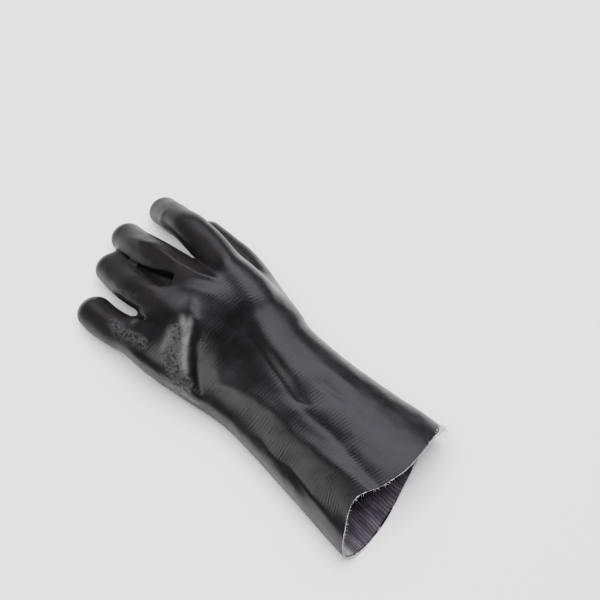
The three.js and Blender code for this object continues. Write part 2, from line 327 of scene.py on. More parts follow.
@dataclass
class Digit:
    """A finger or the thumb: an oval carried along a bent middle line, with a round tip."""

    root: Triple
    bones: tuple[Triple, ...]
    half_width: float
    half_depth: float
    root_swell: float = 0.10
    taper: float = 0.10
    swell_fall: float = 1.6
    steps: int = 120
    margin: float = 24.0
    batch: int = 40000

    def __post_init__(self) -> None:
        """Lay out the middle line and its frames, evenly along its length."""
        ends = [np.array(self.root)]
        for length, swing, tilt in self.bones:
            ends.append(ends[-1] + length * heading(swing, tilt))
        line = self._through(np.array(ends))
        length = np.concatenate([[0], np.cumsum(np.linalg.norm(np.diff(line, axis=0), axis=1))])
        share = np.linspace(0, 1, self.steps)
        even = np.linspace(0, length[-1], self.steps)
        self.centre = np.stack([np.interp(even, length, line[:, k]) for k in range(3)], axis=1)
        self.length = length[-1]
        self.along = unit(np.gradient(self.centre, axis=0))
        self.across = unit(np.cross(self.along, [0.0, 0.0, 1.0]))
        self.up = np.cross(self.across, self.along)
        root = self.root_swell * (1 - smooth(share * self.swell_fall))
        self.swell = 1 + root - self.taper * smooth(share)

    @staticmethod
    def _through(ends: Array, steps: int = 60) -> Array:
        """Draw a centripetal curve through points: cubics whose knots are root distances apart.

        Args:
            ends: The points.
            steps: How many points each piece has.

        Returns:
            Points of the curve.
        """
        points = np.vstack([2 * ends[0] - ends[1], ends, 2 * ends[-1] - ends[-2]])
        t = np.linspace(0, 1, steps)[:, None]
        pieces = [points[1:2]]
        for a, b, c, d in zip(points, points[1:], points[2:], points[3:]):
            ab, bc, cd = (math.sqrt(np.linalg.norm(q - p)) for p, q in ((a, b), (b, c), (c, d)))
            leave = ((b - a) / ab - (c - a) / (ab + bc) + (c - b) / bc) * bc
            reach = ((c - b) / bc - (d - b) / (bc + cd) + (d - c) / cd) * bc
            cubic = b + leave * t + (3 * (c - b) - 2 * leave - reach) * t**2
            pieces.append((cubic + (2 * (b - c) + leave + reach) * t**3)[1:])
        return np.vstack(pieces)

    def distance(self, points: Array, far: float = 40.0) -> tuple[Array, Array]:
        """Give the digit's field and how far along it each point lies.

        The field is the distance from the middle line times 1 - 1 / r, where r is how many
        times larger the oval, or the tip's half ball, would be through the point.

        Args:
            points: Places in mm.
            far: The field where the digit is too far off to matter.

        Returns:
            The field, and the distance along the middle line.
        """
        value = np.full(len(points), far)
        along = np.zeros(len(points))
        low = self.centre.min(axis=0) - self.half_width - self.margin
        high = self.centre.max(axis=0) + self.half_width + self.margin
        close = np.flatnonzero(((points > low) & (points < high)).all(axis=1))
        for part in np.array_split(close, max(len(close) // self.batch, 1)):
            place = points[part]
            k = ((self.centre**2).sum(axis=1) - 2 * place @ self.centre.T).argmin(axis=1)
            off = place - self.centre[k]
            ahead = (off * self.along[k]).sum(axis=1)
            beyond = np.where(k == self.steps - 1, np.maximum(ahead, 0), 0)
            beyond += np.where(k == 0, np.minimum(ahead, 0), 0)
            wide = (off * self.across[k]).sum(axis=1) / (self.half_width * self.swell[k])
            deep = (off * self.up[k]).sum(axis=1) / (self.half_depth * self.swell[k])
            ratio = np.sqrt(wide**2 + deep**2 + (beyond / self.half_depth) ** 2)
            radius = np.linalg.norm(off - self.along[k] * (ahead - beyond)[:, None], axis=1)
            value[part] = np.minimum(radius * (1 - 1 / np.maximum(ratio, LEAST_RATIO)), far)
            along[part] = k / (self.steps - 1) * self.length + ahead
        return value, along


@dataclass(frozen=True)
class Web:
    """A gap between two neighbouring digits, which starts at a web.

    Its floor is a height over the digits' middle lines; a closing gap narrows as it runs out.
    """

    first: int
    second: int
    start: float
    width: float = 1.5
    run: float = 9.0
    floor: float = -60.0
    closing: float = 0.0


@dataclass(frozen=True)
class Crease:
    """A ridge, or a valley if its height is below zero, along a line seen from above.

    Its height falls off as 1 / (1 + d^2)^1.5, d being the distance from the line over a
    width that passes from the left one to the right one across the line, and fades to
    nothing at both ends. Left is the little finger side of the line.
    """

    path: tuple[tuple[float, float], ...]
    height: float
    left: float
    right: float
    fade: float = 0.2

    def at(self, plan: Array) -> Array:
        """Give the height at places seen from above.

        Args:
            plan: x and y of the places.

        Returns:
            The height at each, in mm.
        """
        line = np.array(self.path, dtype=float)
        lengths = np.linalg.norm(np.diff(line, axis=0), axis=1)
        starts = np.concatenate([[0.0], np.cumsum(lengths)])
        square, side, share = np.full((3, len(plan)), np.inf)
        for start, end, length, before in zip(line, line[1:], lengths, starts):
            run = (end - start) / length
            t = np.clip((plan - start) @ run, 0.0, length)
            off = plan - start - t[:, None] * run
            far = (off**2).sum(axis=1)
            nearer = far < square
            side = np.where(nearer, run[1] * off[:, 0] - run[0] * off[:, 1], side)
            share = np.where(nearer, (before + t) / starts[-1], share)
            square = np.where(nearer, far, square)
        if line[-1, 1] < line[0, 1]:
            side = -side
        passed = smooth(0.5 + side / (self.left + self.right))
        width = self.left + (self.right - self.left) * passed
        ends = smooth(np.minimum(share, 1 - share) / self.fade)
        return self.height * ends / (1 + square / width**2) ** 1.5


@dataclass
class GloveForm:
    """The whole outer skin: the body and digits joined with fillets and parted by gaps."""

    body: Body = field(default_factory=Body)
    # The index, middle, ring and little fingers and the thumb
    digits: tuple[Digit, ...] = (
        Digit((30.75, 39.9, 39.6),
              ((48.4, 8, 5), (41.8, 5.5, -4), (28.6, 8, -26), (24.2, 10, -34)), 15.08, 13.5),
        Digit((11.07, 43.7, 40.8),
              ((48.4, -2, 1), (38.5, -5, -8), (28.6, -1, -25), (24.2, 5, -28)), 15.8, 13.5),
        Digit((-13.9, 43.7, 37.8),
              ((48.4, -8, 0), (30.8, -10, -12), (22.0, 2, -22), (21.45, 8, -22)), 17.11, 13.5),
        Digit((-42.44, 38.0, 27.0),
              ((44.0, -14, -1), (31.9, -13, -11), (16.5, -5, -16), (13.2, 2, -13)), 16.82, 13.5),
        Digit((39.98, 15.2, 24.0),
              ((37.4, 19, -6), (40.04, 15, -9), (41.8, -3, -2)), 14.5, 12.42),
    )
    webs: tuple[Web, ...] = (
        Web(0, 1, 99.0), Web(1, 2, 95.0, 12.0, 8.0, -4.0, 11.0), Web(2, 3, 84.0),
        Web(0, 4, 74.0, 2.0),
    )
    creases: tuple[Crease, ...] = (
        Crease(((58, 150), (51, 126), (44, 94), (37, 69), (27, 45), (15, 14), (12, -8), (9, -30),
                (0, -56)), 2.3, 9.0, 16.0, 0.12),
        Crease(((6, 16), (0, -16), (-6, -46), (-8, -65), (-7, -94), (-11, -123), (-19, -185)),
               -1.1, 5.0, 6.0, 0.2),
        Crease(((3, 172), (3, 150), (6.5, 138), (6.6, 120), (6.5, 108), (10, 90), (22, 60)),
               1.9, 2.4, 4.5),
        Crease(((-30, 122), (-23, 110), (-11, 95), (0, 79), (8, 55)), 1.0, 6.0, 5.0),
        Crease(((-7, 73), (-19, 56), (-38, 44), (-49, 34), (-54, 22), (-59, 4)),
               2.6, 7.5, 4.2, 0.16),
        Crease(((-8, 56), (-17, 46), (-33, 37), (-43, 27), (-50, 15), (-54, 0)),
               -0.4, 2.5, 4.0, 0.3),
        Crease(((-2, 42), (-16, 29), (-32, 15), (-46, 2)), 1.0, 9.0, 9.0, 0.35),
        Crease(((-58, 14), (-40, 4), (-28, -18)), 1.2, 7.0, 7.0, 0.4),
        Crease(((-8, -46), (0, -66)), -0.9, 2.6, 2.6, 0.4),
        Crease(((-38, -2), (-29, -25), (-25, -54), (-28, -69), (-26, -97), (-24, -114),
                (-18, -185)), 1.3, 11.0, 8.0, 0.15),
        Crease(((-44, -36), (-49, -68), (-46, -83), (-48, -98), (-58, -150)), 0.9, 4.0, 5.0, 0.3),
        Crease(((12, -42), (20, -56), (20, -67), (27, -88)), -0.8, 4.0, 5.0, 0.45),
        Crease(((30, -30), (33, -56), (38, -84)), 0.7, 7.0, 7.0, 0.4),
        Crease(((28, 158), (44, 165)), 0.5, 3.0, 3.0, 0.4),
        Crease(((-64, 112), (-66, 103), (-69, 93)), 0.7, 1.8, 1.8, 0.4),
    )
    body_fillet: float = 8.0
    thumb_fillet: float = 10.0
    digit_fillets: Triple = (2.5, 11.0, 2.5)
    rest_fillet: float = 2.0
    web_fillet: float = 2.0
    web_edge: float = 6.0
    closing_run: float = 50.0
    far_apart: float = 20.0
    rest_band: tuple[float, float] = (0.5, 5.0)
    swells: tuple[tuple[float, SoftNoise, Triple], ...] = (
        (0.65, SoftNoise(19.0, 5), (1.0, 1.5, 1.0)), (0.16, SoftNoise(7.0, 11), (1.0, 1.4, 1.0)),
    )

    def distance(self, points: Array) -> Array:
        """Give the field of the whole skin, below zero inside.

        Args:
            points: Places in mm.

        Returns:
            About the distance of each from the skin.
        """
        digits = [digit.distance(points)[0] for digit in self.digits]
        fingers = digits[0]
        for finger, reach in zip(digits[1:4], self.digit_fillets):
            fingers = soft_min(fingers, finger, reach)
        shape = soft_min(self.body.distance(points), fingers, self.body_fillet)
        shape = soft_min(shape, digits[4], self.thumb_fillet)
        edge = self.web_edge
        for web in self.webs:
            past = points[:, 1] - web.start
            lines = (self.digits[web.first].centre, self.digits[web.second].centre)
            level = sum(np.interp(points[:, 1], line[:, 1], line[:, 2]) for line in lines) / 2
            opened = smooth(past / web.run) * smooth((points[:, 2] - level - web.floor) / edge)
            width = web.width - web.closing * smooth(past / self.closing_run)
            gap = width * opened - edge * (1 - opened)
            first, second = digits[web.first], digits[web.second]
            elsewhere = self.far_apart * smooth((np.minimum(first, second) - edge) / edge)
            shape = soft_max(shape, gap - np.abs(first - second) - elsewhere, self.web_fillet)
        return soft_max(shape, -points[:, 2], self.rest_fillet)

    def slope(self, points: Array, step: float = 0.25) -> Array:
        """Give the field's gradient.

        Args:
            points: Places in mm.
            step: How far each way the differences reach.

        Returns:
            The gradients, one row each.
        """
        shifts = step * np.eye(3)
        rises = [self.distance(points + shift) - self.distance(points - shift) for shift in shifts]
        return np.stack(rises, axis=1) / (2 * step)

    def relief(self, points: Array, normals: Array) -> Array:
        """Give how far creases and unevenness push the skin out.

        Args:
            points: Points of the skin.
            normals: The skin's normals there.

        Returns:
            The push along the normal at each, in mm.
        """
        height = sum(line.at(points[:, :2]) for line in self.creases) * smooth(normals[:, 2] / 0.5)
        for share, noise, stretch in self.swells:
            height = height + share * noise.at(points, stretch)
        start, run = self.rest_band
        return height * smooth((points[:, 2] - start) / run)


# Making meshes

@dataclass
class Skinner:
    """Draws the skin of a field that is below zero inside, as a net of four-sided faces.

    Every cell of a grid that the skin passes through gets one point, the mean of where
    the skin crosses the cell's edges, and every crossed edge of the grid gets a face
    between the four cells round it.
    """

    form: GloveForm
    low: Triple = (-80.0, -154.0, -2.0)
    high: Triple = (80.0, 194.0, 64.0)
    cell: float = 1.7
    rounds: int = 4
    evening: float = 0.55
    rim_cells: float = 1.5
    longest_step: float = 0.8
    least_slope: float = 0.2
    just_inside: float = -0.05

    def net(self) -> tuple[Array, Array]:
        """Build the net and settle it on the skin.

        Returns:
            The points, and four point numbers a face.
        """
        axes = [np.arange(a, b, self.cell) for a, b in zip(self.low, self.high)]
        grid = np.stack(np.meshgrid(*axes, indexing="ij"), axis=-1)
        shape = grid.shape[:3]
        values = self._unpinched(self.form.distance(grid.reshape(-1, 3)).reshape(shape))
        inside = values < 0
        inner = tuple(size - 1 for size in shape)
        count = np.zeros(inner, int)
        for corner in CORNERS:
            count += inside[tuple(slice(o, o + n) for o, n in zip(corner, inner))]
        cells = np.argwhere((count > 0) & (count < 8))
        number = np.full(inner, -1)
        number[tuple(cells.T)] = np.arange(len(cells))
        total = np.zeros((len(cells), 3))
        hits = np.zeros(len(cells))
        for k, one in enumerate(CORNERS):
            for other in CORNERS[k + 1:]:
                if abs(one - other).sum() != 1:
                    continue
                start = values[tuple((cells + one).T)]
                end = values[tuple((cells + other).T)]
                crossed = (start < 0) != (end < 0)
                t = np.where(crossed, start / np.where(crossed, start - end, 1.0), 0.0)
                total += np.where(crossed[:, None], one + t[:, None] * (other - one), 0.0)
                hits += crossed
        points = np.array(self.low) + self.cell * (cells + total / hits[:, None])
        faces = self._faces(inside, number)
        return self._settled(points, faces), faces

    def _unpinched(self, values: Array) -> Array:
        """Fill grid squares with only two far corners inside, where skin would touch skin.

        Four passes are made over the three ways that a square can lie.

        Args:
            values: The field at each point of the grid.

        Returns:
            The field with those squares inside.
        """
        filled = values.copy()
        for first, second in ((0, 1), (0, 2), (1, 2)) * 4:
            corners = []
            for a, b in ((0, 0), (1, 1), (0, 1), (1, 0)):
                cut = [slice(None)] * 3
                cut[first], cut[second] = slice(a, a - 1 or None), slice(b, b - 1 or None)
                corners.append(filled[tuple(cut)])
            one, facing, two, last = (corner < 0 for corner in corners)
            pinched = (one == facing) & (two == last) & (one != two)
            for corner in corners:
                corner[pinched & (corner >= 0)] = self.just_inside
        return filled

    @staticmethod
    def _faces(inside: Array, number: Array) -> Array:
        """Join the four cells round each crossed edge of the grid, facing outwards.

        Args:
            inside: Whether each point of the grid is inside.
            number: The point that each cell holds.

        Returns:
            Four point numbers a face.
        """
        faces = []
        for axis in range(3):
            others = [(axis + 1) % 3, (axis + 2) % 3]
            here = np.delete(inside, -1, axis)
            edges = np.argwhere(here != np.delete(inside, 0, axis))
            beside = edges[:, others]
            within = (beside > 0) & (beside < np.array(inside.shape)[others] - 1)
            edges = edges[within.all(axis=1)]
            b, c = np.eye(3, dtype=int)[others]
            ring = [number[tuple((edges - step).T)] for step in (b + c, c, 0 * b, b)]
            quads = np.stack(ring, axis=1)
            faces.append(np.where(here[tuple(edges.T)][:, None], quads, quads[:, ::-1]))
        return np.vstack(faces)

    def _settled(self, points: Array, faces: Array) -> Array:
        """Even out the net and bring it back to the skin, a few times over.

        Args:
            points: The net's points.
            faces: Its faces.

        Returns:
            The settled points.
        """
        pairs = np.stack([faces, np.roll(faces, -1, axis=1)], axis=-1).reshape(-1, 2)
        links = np.unique(np.sort(pairs, axis=1), axis=0)
        here, there = np.vstack([links, links[:, ::-1]]).T
        count = np.maximum(np.bincount(here, minlength=len(points)), 1)
        rim = points[:, 1] < self.low[1] + self.rim_cells * self.cell
        for _ in range(self.rounds):
            total = [np.bincount(here, values[there], len(points)) for values in points.T]
            moved = points + self.evening * (np.stack(total, axis=1) / count[:, None] - points)
            moved[rim] = points[rim]
            slope = self.form.slope(moved)
            step = self.form.distance(moved) / np.maximum((slope**2).sum(axis=1), self.least_slope)
            step = np.clip(step, -self.longest_step, self.longest_step)
            points = moved - step[:, None] * slope
        return points


def placed(name: str, data: bpy.types.ID) -> Object:
    """Link a new object that holds some data to the scene.

    Args:
        name: The object's name.
        data: Its mesh, light or camera.

    Returns:
        The object.
    """
    made = bpy.data.objects.new(name, data)
    bpy.context.scene.collection.objects.link(made)
    return made


def new_object(name: str, points: Array, faces: Array) -> Object:
    """Put points in mm and faces of one size into a smooth-shaded mesh object.

    Args:
        name: The piece's name.
        points: Points in the glove's own frame.
        faces: Point numbers, one row a face.

    Returns:
        The object, linked to the scene.
    """
    mesh = bpy.data.meshes.new(name)
    mesh.from_pydata((points + ORIGIN) * MM, [], faces)
    mesh.validate()
    mesh.shade_smooth()
    return placed(name, mesh)


@contextmanager
def edited(piece: Object) -> Iterator[bmesh.types.BMesh]:
    """Open a piece's mesh for editing, and write it back smooth-shaded.

    Args:
        piece: The piece.

    Yields:
        Its mesh.
    """
    work = bmesh.new()
    work.from_mesh(piece.data)
    yield work
    work.to_mesh(piece.data)
    work.free()
    piece.data.shade_smooth()


def mark(piece: Object, **marks: Array) -> None:
    """Keep numbers for each point of a piece, for its finish to read.

    Args:
        piece: The piece.
        marks: The numbers, by name.
    """
    for name, values in marks.items():
        layer = piece.data.attributes.new(name, "FLOAT", "POINT")
        layer.data.foreach_set("value", values.astype(np.float32))


def ring_faces(count: int, sides: int, looped: bool = False) -> Array:
    """Join each ring of points to the next by four-sided faces.

    Args:
        count: How many rings there are.
        sides: How many points a ring has.
        looped: Whether the last ring joins the first.

    Returns:
        Point numbers, one row a face.
    """
    row = np.arange(count if looped else count - 1)[:, None]
    side = np.arange(sides)
    here, next_ = row * sides, (row + 1) % count * sides
    after = (side + 1) % sides
    corners = (here + side, here + after, next_ + after, next_ + side)
    return np.stack(corners, axis=-1).reshape(-1, 4)


def oval(size: Array, angle: Array, across: float = 1.0, up: float = 1.0) -> Array:
    """Give oval profiles: across size cos a and up size sin a, for each size and angle a."""
    return size[..., None, None] * np.stack([across * np.cos(angle), up * np.sin(angle)], axis=-1)


def tubes(name: str, path: Array, across: Array, up: Array, profile: Array) -> Object:
    """Carry closed profiles along paths: each point is path + u across + v up.

    Args:
        name: The piece's name.
        path: Points of the paths: (paths, steps, 3), or (steps, 3) for one.
        across: The profile's first direction at each.
        up: The profile's second direction at each.
        profile: Profile points (u, v) for every path point, in mm.

    Returns:
        The tubes as one object, joined where they meet themselves and closed at their ends.
    """
    points = path[..., None, :] + profile[..., :1] * across[..., None, :]
    points = (points + profile[..., 1:] * up[..., None, :]).reshape(-1, 3)
    steps, sides = path.shape[-2], profile.shape[-2]
    first = np.arange(0, len(points), steps * sides)[:, None, None]
    piece = new_object(name, points, (first + ring_faces(steps, sides)).reshape(-1, 4))
    with edited(piece) as work:
        bmesh.ops.remove_doubles(work, verts=work.verts, dist=1e-6)
        bmesh.ops.holes_fill(work, edges=[e for e in work.edges if e.is_boundary], sides=0)
        bmesh.ops.recalc_face_normals(work, faces=work.faces)
    return piece


# Finishes

@dataclass(frozen=True)
class Value:
    """A number or colour on a node's socket. Arithmetic on it adds Math nodes."""

    shade: "Shade"
    socket: bpy.types.NodeSocket

    def _math(self, operation: str, *values: object) -> "Value":
        """Add a Math node."""
        return self.shade.add("Math", "Value", dict(enumerate(values)), operation=operation)

    def __add__(self, other: object) -> "Value":
        """Add."""
        return self._math("ADD", self, other)

    __radd__ = __add__

    def __sub__(self, other: object) -> "Value":
        """Subtract."""
        return self._math("SUBTRACT", self, other)

    def __rsub__(self, other: object) -> "Value":
        """Subtract from."""
        return self._math("SUBTRACT", other, self)

    def __mul__(self, other: object) -> "Value":
        """Multiply."""
        return self._math("MULTIPLY", self, other)

    __rmul__ = __mul__

    def sine(self) -> "Value":
        """Take the sine."""
        return self._math("SINE", self)

    def ridged(self) -> "Value":
        """Fold noise about its middle, so that it has sharp crests at 1."""
        return 1 - self._math("ABSOLUTE", self * 2 - 1) * 2

    def between(self, low: float, high: float) -> "Value":
        """Pass smoothly from 0 at low to 1 at high."""
        inputs = {"Value": self, "From Min": low, "From Max": high}
        return self.shade.add("MapRange", "Result", inputs, interpolation_type="SMOOTHSTEP")


class Shade:
    """A material under construction."""

    def __init__(self, name: str) -> None:
        """Start a material with an empty node tree.

        Args:
            name: The material's name.
        """
        self.material = bpy.data.materials.new(name)
        self.material.use_nodes = True
        self.tree = self.material.node_tree
        self.tree.nodes.clear()

    def add(self, kind: str, output: str | int, inputs: dict, **settings: object) -> Value:
        """Add a node, set it, and fill or link its inputs.

        Args:
            kind: The node's type, without its prefix.
            output: The name or number of the output to give.
            inputs: Values or links by input name or number.
            settings: Properties of the node, which are set first.

        Returns:
            That output, if the node has any.
        """
        node = self.tree.nodes.new(f"ShaderNode{kind}")
        for name, value in settings.items():
            setattr(node, name, value)
        for name, value in inputs.items():
            socket = node.inputs[name]
            if isinstance(value, Value):
                self.tree.links.new(value.socket, socket)
            else:
                socket.default_value = (*value, 1.0) if socket.type == "RGBA" else value
        return Value(self, node.outputs[output] if node.outputs else None)

    def place(self) -> Value:
        """Give the place on the piece, in metres."""
        return self.add("TexCoord", "Object", {})

    def stored(self, name: str) -> Value:
        """Read a number that the mesh holds."""
        return self.add("Attribute", "Fac", {}, attribute_name=name)

    def stretched(self, scale: Triple) -> Value:
        """Give the place scaled along its axes."""
        return self.add("Mapping", "Vector", {"Vector": self.place(), "Scale": scale})

    def noise(self, per_metre: float, detail: float = 2.0, rough: float = 0.5,
              at: Value | None = None) -> Value:
        """Add smooth noise.

        Args:
            per_metre: Its scale, in lumps a metre.
            detail: How many finer layers it has.
            rough: How strong they are.
            at: Where to read it, or the place on the piece.

        Returns:
            The noise, 0 to 1.
        """
        inputs = {"Vector": at or self.place(), "Scale": per_metre, "Detail": detail,
                  "Roughness": rough}
        return self.add("TexNoise", "Fac", inputs)

    def blend(self, factor: object, first: object, second: object) -> Value:
        """Mix two colours."""
        return self.add("Mix", 2, {0: factor, 6: first, 7: second}, data_type="RGBA")

    def bump(self, height: Value) -> Value:
        """Turn a height in millimetres into a normal."""
        return self.add("Bump", "Normal", {"Height": height, "Distance": MM, "Strength": 1.0})

    def principled(self, inputs: dict[str, object]) -> Value:
        """Add a Principled shader with values and links by input name."""
        return self.add("BsdfPrincipled", "BSDF", inputs)

    def finished(self, shader: Value) -> bpy.types.Material:
        """Close the material with its shader."""
        self.add("OutputMaterial", 0, {"Surface": shader})
        return self.material


@dataclass(frozen=True)
class DippedVinyl:
    """Black vinyl from a dip: satin, faintly ribbed round the arm and grained in patches, with
    highlights painted on its crinkles and along one fold's crest.
    """

    dark: Triple = (0.0014, 0.0014, 0.0016)
    pale: Triple = (0.0046, 0.0042, 0.0050)
    worn: Triple = (0.0070, 0.0062, 0.0063)
    # Paler grey painted on the crinkles' crests: a painted highlight standing in for their glints
    painted_glint: Triple = (0.030, 0.0293, 0.030)
    # Colour of the highlight painted along the crest of the fold by the palm's edge
    rubbed: Triple = (0.070, 0.068, 0.069)
    rib_spacing: float = 2.8
    rib_wander: float = 2.4
    rib_height: float = 0.052
    streak_height: float = 0.07
    grain_height: float = 0.042
    dulled_grain: float = 0.03
    wrinkle_height: float = 0.36

    def material(self) -> bpy.types.Material:
        """Build the material.

        It reads these numbers of the mesh: length_along, ribbing, crinkle, dulled, polish
        and the share of the highlight painted along a fold's crest.

        Returns:
            The material.
        """
        s = Shade("dipped_vinyl")
        ribbing, dulled = s.stored("ribbing"), s.stored("dulled")
        clouds = s.noise(28.0, 3.0)
        along = s.stored("length_along") + s.noise(60.0) * self.rib_wander
        ribs = (along * (2 * math.pi / self.rib_spacing)).sine()
        broken = s.noise(30.0).between(0.28, 0.62) * s.noise(150.0, 1.0).between(0.25, 0.75)
        streaks = s.noise(1.0, 2.0, 0.6, s.stretched((70.0, 420.0, 70.0)))
        grain = s.noise(900.0, 2.0, 0.6)
        height = ribs * broken * ribbing * self.rib_height
        height = height + streaks * ribbing * self.streak_height
        height = height + grain * (self.grain_height + dulled * self.dulled_grain)
        patch = s.stored("crinkle").between(0.3, 0.75)
        wrinkles = s.noise(250.0, 1.0).ridged() + s.noise(520.0, 1.0).ridged() * 0.5
        height = height + patch * wrinkles * self.wrinkle_height
        colour = s.blend(clouds.between(0.35, 0.75), self.dark, self.pale)
        colour = s.blend(dulled * (0.35 + clouds), colour, self.worn)
        # Painted highlight: the crinkles' crests are painted paler, standing in for their glints
        colour = s.blend(patch * wrinkles.between(0.7, 1.3) * 0.7, colour, self.painted_glint)
        # Painted highlight: a pale speckled streak along the crest of the fold by the palm's edge
        speckle = 0.6 + s.noise(220.0).between(0.3, 0.6) * 0.4
        colour = s.blend(s.stored("rubbed").between(0.04, 1.0) * speckle, colour, self.rubbed)
        common = {"Base Color": colour, "Normal": s.bump(height)}
        matte = s.principled(common | {"Roughness": 0.48, "Specular IOR Level": 0.16})
        roughness = 0.23 + clouds * 0.12 + streaks * 0.10 - patch * 0.04
        polished = s.principled(common | {"Roughness": roughness, "Specular IOR Level": 0.5})
        shine = (1 - dulled * 0.6) * s.stored("polish")
        return s.finished(s.add("MixShader", "Shader", {0: shine, 1: matte, 2: polished}))


@dataclass(frozen=True)
class RibbedKnit:
    """The liner's knit: lengthwise ribs of loops, a dark purplish grey, with shade painted in the
    ribs' valleys and light painted on their crests.
    """

    # Painted shade for the valleys of the ribs and loops, painted light for their crests
    valley: Triple = (0.022, 0.017, 0.024)
    crest: Triple = (0.13, 0.115, 0.14)
    bleached: Triple = (0.27, 0.27, 0.28)
    rib_spacing: float = 2.5
    rib_wander: float = 2.2
    rib_height: float = 0.5
    loop_spacing: float = 1.4
    loop_height: float = 0.18
    fuzz_height: float = 0.12

    def material(self) -> bpy.types.Material:
        """Build the material.

        It reads the mesh's length_round, length_along and faded numbers.

        Returns:
            The material.
        """
        s = Shade("ribbed_knit")
        across = s.stored("length_round") + s.noise(120.0) * self.rib_wander
        rib = (across * (2 * math.pi / self.rib_spacing)).sine() * 0.5 + 0.5
        along = s.stored("length_along") + rib * 0.6
        loops = (along * (2 * math.pi / self.loop_spacing)).sine() * 0.5 + 0.5
        fuzz = s.noise(1400.0, 2.0, 0.7)
        streaks = s.noise(1.0, 2.0, 0.6, s.stretched((260.0, 40.0, 260.0)))
        # Painted light and shade: paler on rib and loop crests, darker in their valleys; the fuzz
        # and streaks add real uneven tone
        light = (rib * 0.55 + loops * 0.2 + fuzz * 0.35) * (streaks.between(0.3, 0.75) * 0.8 + 0.2)
        woven_with_painted_shade = s.blend(light, self.valley, self.crest)
        colour = s.blend(s.stored("faded") * (0.6 + fuzz * 0.5), woven_with_painted_shade, self.bleached)
        height = rib * self.rib_height + loops * self.loop_height + fuzz * self.fuzz_height
        return s.finished(s.principled({
            "Base Color": colour, "Roughness": 0.95, "Sheen Weight": 0.25,
            "Specular IOR Level": 0.2, "Normal": s.bump(height),
        }))


@dataclass(frozen=True)
class SpunThread:
    """Plied cotton thread of the seams and the loose fibres of the cut edge."""

    name: str = "seam_thread"
    dark: Triple = (0.16, 0.15, 0.17)
    pale: Triple = (0.40, 0.39, 0.42)
    fleck_height: float = 0.15

    def material(self) -> bpy.types.Material:
        """Build the material: pale with darker flecks, dull and slightly rough.

        Returns:
            The material.
        """
        s = Shade(self.name)
        flecks = s.noise(700.0, 2.0, 0.6)
        return s.finished(s.principled({
            "Base Color": s.blend(flecks.between(0.3, 0.65), self.dark, self.pale),
            "Roughness": 0.9, "Sheen Weight": 0.3, "Specular IOR Level": 0.25,
            "Normal": s.bump(flecks * self.fleck_height),
        }))


# The glove's pieces

